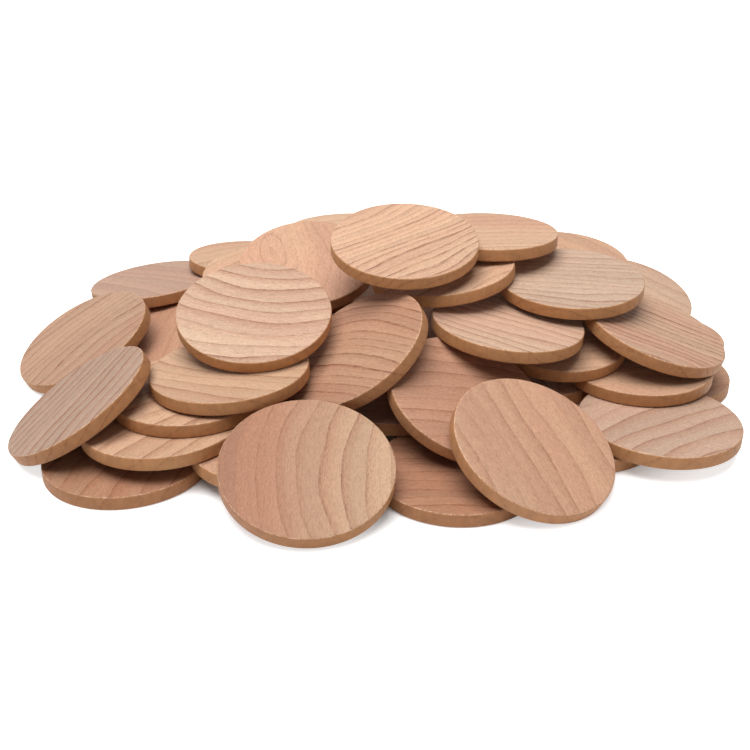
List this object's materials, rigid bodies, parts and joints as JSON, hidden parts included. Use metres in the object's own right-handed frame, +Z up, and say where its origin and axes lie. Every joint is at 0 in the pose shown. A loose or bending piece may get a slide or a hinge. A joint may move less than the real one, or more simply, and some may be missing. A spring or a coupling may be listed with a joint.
{
  "type": "heap of wooden game tokens",
  "caption": "Heap of plain round wooden game tokens with softened edges, lying loose on a table; the uppermost ones lift off.",
  "frame": {"origin": "under the middle of the heap's outline, on the table that it lies on", "axes": "+X to the right along the heap's long side, +Y to its back, +Z up; the picture looks along +Y from the front and above"},
  "size_m": [0.1946, 0.1646, 0.0433],
  "materials": {
    "pale_hardwood": "sanded bare wood, matt"
  },
  "bodies": {
    "heap": {"low_left_token": "pale_hardwood", "low_front_token": "pale_hardwood", "low_front_right_token": "pale_hardwood", "low_right_token": "pale_hardwood", "base_left_token": "pale_hardwood", "base_middle_left_token": "pale_hardwood", "base_middle_right_token": "pale_hardwood", "base_back_left_token": "pale_hardwood", "base_back_middle_token": "pale_hardwood", "base_back_right_token": "pale_hardwood", "base_far_left_token": "pale_hardwood", "rear_middle_token": "pale_hardwood", "rear_right_token": "pale_hardwood", "rear_far_right_token": "pale_hardwood", "rear_left_token": "pale_hardwood", "inner_bridge_token": "pale_hardwood", "inner_right_token": "pale_hardwood", "low_middle_token": "pale_hardwood", "stack_second_token": "pale_hardwood", "right_front_token": "pale_hardwood", "right_back_token": "pale_hardwood", "right_middle_token": "pale_hardwood", "stack_third_token": "pale_hardwood", "middle_leaning_token": "pale_hardwood", "inner_middle_token": "pale_hardwood", "centre_leaning_token": "pale_hardwood", "stack_fourth_token": "pale_hardwood", "right_inner_token": "pale_hardwood", "right_rear_upper_token": "pale_hardwood", "right_upper_token": "pale_hardwood", "centre_right_token": "pale_hardwood", "left_ledge_token": "pale_hardwood", "back_left_token": "pale_hardwood", "rear_left_upper_token": "pale_hardwood", "back_left_upper_token": "pale_hardwood", "rear_middle_upper_token": "pale_hardwood", "back_leaning_token": "pale_hardwood", "back_right_upper_token": "pale_hardwood", "right_top_token": "pale_hardwood"},
    "front_leaning": {"front_leaning_token": "pale_hardwood"},
    "front_right_leaning": {"front_right_leaning_token": "pale_hardwood"},
    "left_leaning": {"left_leaning_token": "pale_hardwood"},
    "far_left_leaning": {"far_left_leaning_token": "pale_hardwood"},
    "left_top": {"left_top_token": "pale_hardwood"},
    "centre_upper": {"centre_upper_token": "pale_hardwood"},
    "back_top": {"back_top_token": "pale_hardwood"},
    "top": {"top_token": "pale_hardwood"}
  },
  "joints": [
    {"name": "front_leaning_lift", "type": "slide", "parent": "heap", "child": "front_leaning", "axis": [0, 0, 1], "range_m": [0, 0.06]},
    {"name": "front_right_leaning_lift", "type": "slide", "parent": "heap", "child": "front_right_leaning", "axis": [0, 0, 1], "range_m": [0, 0.06]},
    {"name": "left_leaning_lift", "type": "slide", "parent": "heap", "child": "left_leaning", "axis": [0, 0, 1], "range_m": [0, 0.06]},
    {"name": "far_left_leaning_lift", "type": "slide", "parent": "heap", "child": "far_left_leaning", "axis": [0, 0, 1], "range_m": [0, 0.06]},
    {"name": "left_top_lift", "type": "slide", "parent": "heap", "child": "left_top", "axis": [0, 0, 1], "range_m": [0, 0.06]},
    {"name": "centre_upper_lift", "type": "slide", "parent": "heap", "child": "centre_upper", "axis": [0, 0, 1], "range_m": [0, 0.06]},
    {"name": "back_top_lift", "type": "slide", "parent": "centre_upper", "child": "back_top", "axis": [0, 0, 1], "range_m": [0, 0.06]},
    {"name": "top_lift", "type": "slide", "parent": "back_top", "child": "top", "axis": [0, 0, 1], "range_m": [0, 0.06]}
  ]
}
